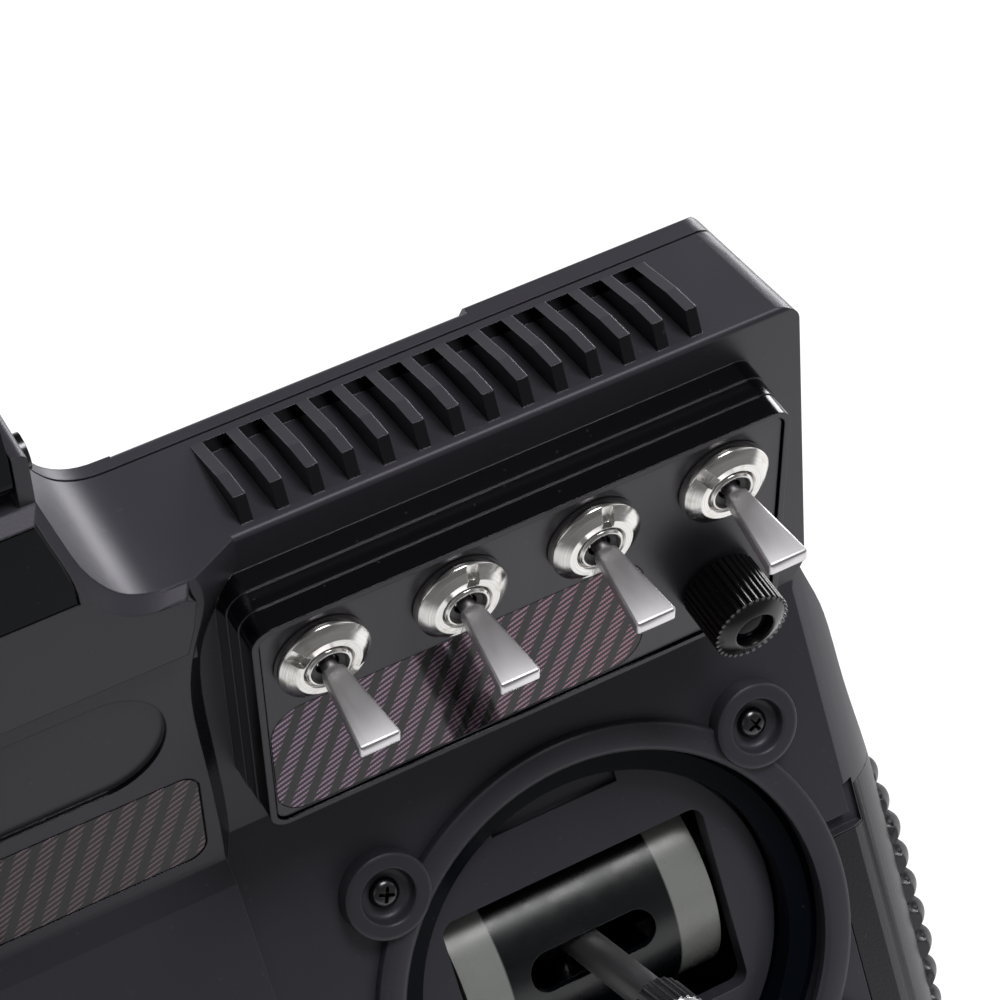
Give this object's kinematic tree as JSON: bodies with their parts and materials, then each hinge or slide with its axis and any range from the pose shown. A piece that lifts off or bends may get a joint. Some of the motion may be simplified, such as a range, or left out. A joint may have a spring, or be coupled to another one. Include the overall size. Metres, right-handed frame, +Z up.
{
  "type": "radio transmitter controller",
  "caption": "Hand-held two-stick radio transmitter with a leaning console of toggle switches and dials, stick gimbals, trims, display and folding aerial.",
  "frame": {"origin": "centre of the flat base, under the middle of the stick body", "axes": "+X to the right as the user sees it, front (stick face) towards -Y, +Z up towards the aerial"},
  "size_m": [0.244, 0.1451, 0.2555],
  "materials": {
    "housing": "satin moulded",
    "grip_rubber": "matte",
    "panel": "fine matte",
    "carbon_inlay": "gloss over a woven print",
    "gloss_black": "gloss",
    "switch_black": "matte",
    "polished_steel": "turned and polished",
    "satin_steel": "satin nickel",
    "cap_aluminium": "knurled",
    "dark_plastic": "satin",
    "pale_nylon": "translucent",
    "screw_steel": "black oxide",
    "key_grey": "matte",
    "lens_red": "clear",
    "display_glass": "clear",
    "display_cell": "grey-green cell",
    "board_green": "printed circuit board",
    "cell_foil": "sleeved",
    "jack_black": "matte"
  },
  "bodies": {
    "housing": {"antenna_pin": "polished_steel", "battery_cells": "cell_foil", "bezel_screws": "screw_steel", "case_screws": "screw_steel", "centre_label": "carbon_inlay", "charge_jack": "jack_black", "dial_base_left": "switch_black", "dial_base_right": "switch_black", "display_glass": "display_glass", "display_module": "display_cell", "front_housing": "housing", "gimbal_cup_left": "dark_plastic", "gimbal_cup_right": "dark_plastic", "gimbal_plate_left": "dark_plastic", "gimbal_plate_right": "dark_plastic", "main_board": "board_green", "panel_inlay_left": "carbon_inlay", "panel_inlay_right": "carbon_inlay", "power_switch": "switch_black", "rear_housing": "housing", "side_grip_left": "grip_rubber", "side_grip_right": "grip_rubber", "status_lens": "lens_red", "stick_bezel_left": "housing", "stick_bezel_right": "housing", "strap_eyelet": "polished_steel", "switch_panel_left": "panel", "switch_panel_right": "panel", "toggle_bodies": "switch_black", "toggle_nuts": "polished_steel", "tower_insert": "gloss_black"},
    "toggle_1_right": {"toggle_lever_1_right": "satin_steel"},
    "toggle_2_right": {"toggle_lever_2_right": "satin_steel"},
    "toggle_3_right": {"toggle_lever_3_right": "satin_steel"},
    "toggle_4_right": {"toggle_lever_4_right": "satin_steel"},
    "dial_right": {"dial_knob_right": "dark_plastic"},
    "yoke_right": {"stick_yoke_right": "pale_nylon"},
    "stick_right": {"stick_shaft_right": "satin_steel", "stick_cap_right": "cap_aluminium"},
    "trim_pitch_right": {"trim_lever_pitch_right": "dark_plastic"},
    "trim_side_right": {"trim_lever_side_right": "dark_plastic"},
    "toggle_1_left": {"toggle_lever_1_left": "satin_steel"},
    "toggle_2_left": {"toggle_lever_2_left": "satin_steel"},
    "toggle_3_left": {"toggle_lever_3_left": "satin_steel"},
    "toggle_4_left": {"toggle_lever_4_left": "satin_steel"},
    "dial_left": {"dial_knob_left": "dark_plastic"},
    "yoke_left": {"stick_yoke_left": "pale_nylon"},
    "stick_left": {"stick_shaft_left": "satin_steel", "stick_cap_left": "cap_aluminium"},
    "trim_pitch_left": {"trim_lever_pitch_left": "dark_plastic"},
    "trim_side_left": {"trim_lever_side_left": "dark_plastic"},
    "key_body_1": {"key_1": "key_grey"},
    "key_body_2": {"key_2": "key_grey"},
    "key_body_3": {"key_3": "key_grey"},
    "key_body_4": {"key_4": "key_grey"},
    "power_slide": {"power_slider": "dark_plastic"},
    "antenna": {"antenna_arm": "gloss_black"},
    "cover": {"battery_cover": "housing"}
  },
  "joints": [
    {"name": "toggle_1_right_flip", "type": "hinge", "parent": "housing", "child": "toggle_1_right", "pos_m": [0.038, -0.05417, 0.15494], "axis": [1, 0, 0], "range_deg": [-12.5, 12.5]},
    {"name": "toggle_2_right_flip", "type": "hinge", "parent": "housing", "child": "toggle_2_right", "pos_m": [0.056, -0.05417, 0.15494], "axis": [1, 0, 0], "range_deg": [-12.5, 12.5]},
    {"name": "toggle_3_right_flip", "type": "hinge", "parent": "housing", "child": "toggle_3_right", "pos_m": [0.074, -0.05417, 0.15494], "axis": [1, 0, 0], "range_deg": [-12.5, 12.5]},
    {"name": "toggle_4_right_flip", "type": "hinge", "parent": "housing", "child": "toggle_4_right", "pos_m": [0.092, -0.05417, 0.15494], "axis": [1, 0, 0], "range_deg": [-12.5, 12.5]},
    {"name": "dial_right_turn", "type": "hinge", "parent": "housing", "child": "dial_right", "pos_m": [0.0923, -0.04334, 0.13836], "axis": [0, -0.848, -0.5299], "range_deg": [-150, 150]},
    {"name": "stick_right_pitch", "type": "hinge", "parent": "housing", "child": "yoke_right", "pos_m": [0.0714, -0.002, 0.0843], "axis": [1, 0, 0], "range_deg": [-20, 20], "stiffness_Nm_per_rad": 0.03},
    {"name": "stick_right_sway", "type": "hinge", "parent": "yoke_right", "child": "stick_right", "pos_m": [0.0714, -0.002, 0.0843], "axis": [0, 0, 1], "range_deg": [-20, 20], "stiffness_Nm_per_rad": 0.03},
    {"name": "trim_pitch_right_slide", "type": "slide", "parent": "housing", "child": "trim_pitch_right", "axis": [0, 0, 1], "range_m": [-0.003, 0.003], "stiffness_N_per_m": 150},
    {"name": "trim_side_right_slide", "type": "slide", "parent": "housing", "child": "trim_side_right", "axis": [1, 0, 0], "range_m": [-0.003, 0.003], "stiffness_N_per_m": 150},
    {"name": "toggle_1_left_flip", "type": "hinge", "parent": "housing", "child": "toggle_1_left", "pos_m": [-0.038, -0.05417, 0.15494], "axis": [1, 0, 0], "range_deg": [-12.5, 12.5]},
    {"name": "toggle_2_left_flip", "type": "hinge", "parent": "housing", "child": "toggle_2_left", "pos_m": [-0.056, -0.05417, 0.15494], "axis": [1, 0, 0], "range_deg": [-12.5, 12.5]},
    {"name": "toggle_3_left_flip", "type": "hinge", "parent": "housing", "child": "toggle_3_left", "pos_m": [-0.074, -0.05417, 0.15494], "axis": [1, 0, 0], "range_deg": [-12.5, 12.5]},
    {"name": "toggle_4_left_flip", "type": "hinge", "parent": "housing", "child": "toggle_4_left", "pos_m": [-0.092, -0.05417, 0.15494], "axis": [1, 0, 0], "range_deg": [-12.5, 12.5]},
    {"name": "dial_left_turn", "type": "hinge", "parent": "housing", "child": "dial_left", "pos_m": [-0.0923, -0.04334, 0.13836], "axis": [0, -0.848, -0.5299], "range_deg": [-150, 150]},
    {"name": "stick_left_pitch", "type": "hinge", "parent": "housing", "child": "yoke_left", "pos_m": [-0.0714, -0.002, 0.0843], "axis": [1, 0, 0], "range_deg": [-20, 20], "stiffness_Nm_per_rad": 0.03},
    {"name": "stick_left_sway", "type": "hinge", "parent": "yoke_left", "child": "stick_left", "pos_m": [-0.0714, -0.002, 0.0843], "axis": [0, 0, 1], "range_deg": [-20, 20], "stiffness_Nm_per_rad": 0.03},
    {"name": "trim_pitch_left_slide", "type": "slide", "parent": "housing", "child": "trim_pitch_left", "axis": [0, 0, 1], "range_m": [-0.003, 0.003], "stiffness_N_per_m": 150},
    {"name": "trim_side_left_slide", "type": "slide", "parent": "housing", "child": "trim_side_left", "axis": [1, 0, 0], "range_m": [-0.003, 0.003], "stiffness_N_per_m": 150},
    {"name": "key_1_press", "type": "slide", "parent": "housing", "child": "key_body_1", "axis": [0, 1, 0], "range_m": [0, 0.0008], "stiffness_N_per_m": 400},
    {"name": "key_2_press", "type": "slide", "parent": "housing", "child": "key_body_2", "axis": [0, 1, 0], "range_m": [0, 0.0008], "stiffness_N_per_m": 400},
    {"name": "key_3_press", "type": "slide", "parent": "housing", "child": "key_body_3", "axis": [0, 1, 0], "range_m": [0, 0.0008], "stiffness_N_per_m": 400},
    {"name": "key_4_press", "type": "slide", "parent": "housing", "child": "key_body_4", "axis": [0, 1, 0], "range_m": [0, 0.0008], "stiffness_N_per_m": 400},
    {"name": "power_slide_move", "type": "slide", "parent": "housing", "child": "power_slide", "axis": [0, 0, 1], "range_m": [0, 0.005]},
    {"name": "antenna_fold", "type": "hinge", "parent": "housing", "child": "antenna", "pos_m": [0, -0.06665, 0.19454], "axis": [1, 0, 0], "range_deg": [0, 95]},
    {"name": "battery_cover_lift", "type": "slide", "parent": "housing", "child": "cover", "axis": [0, 1, 0], "range_m": [0, 0.02]}
  ]
}
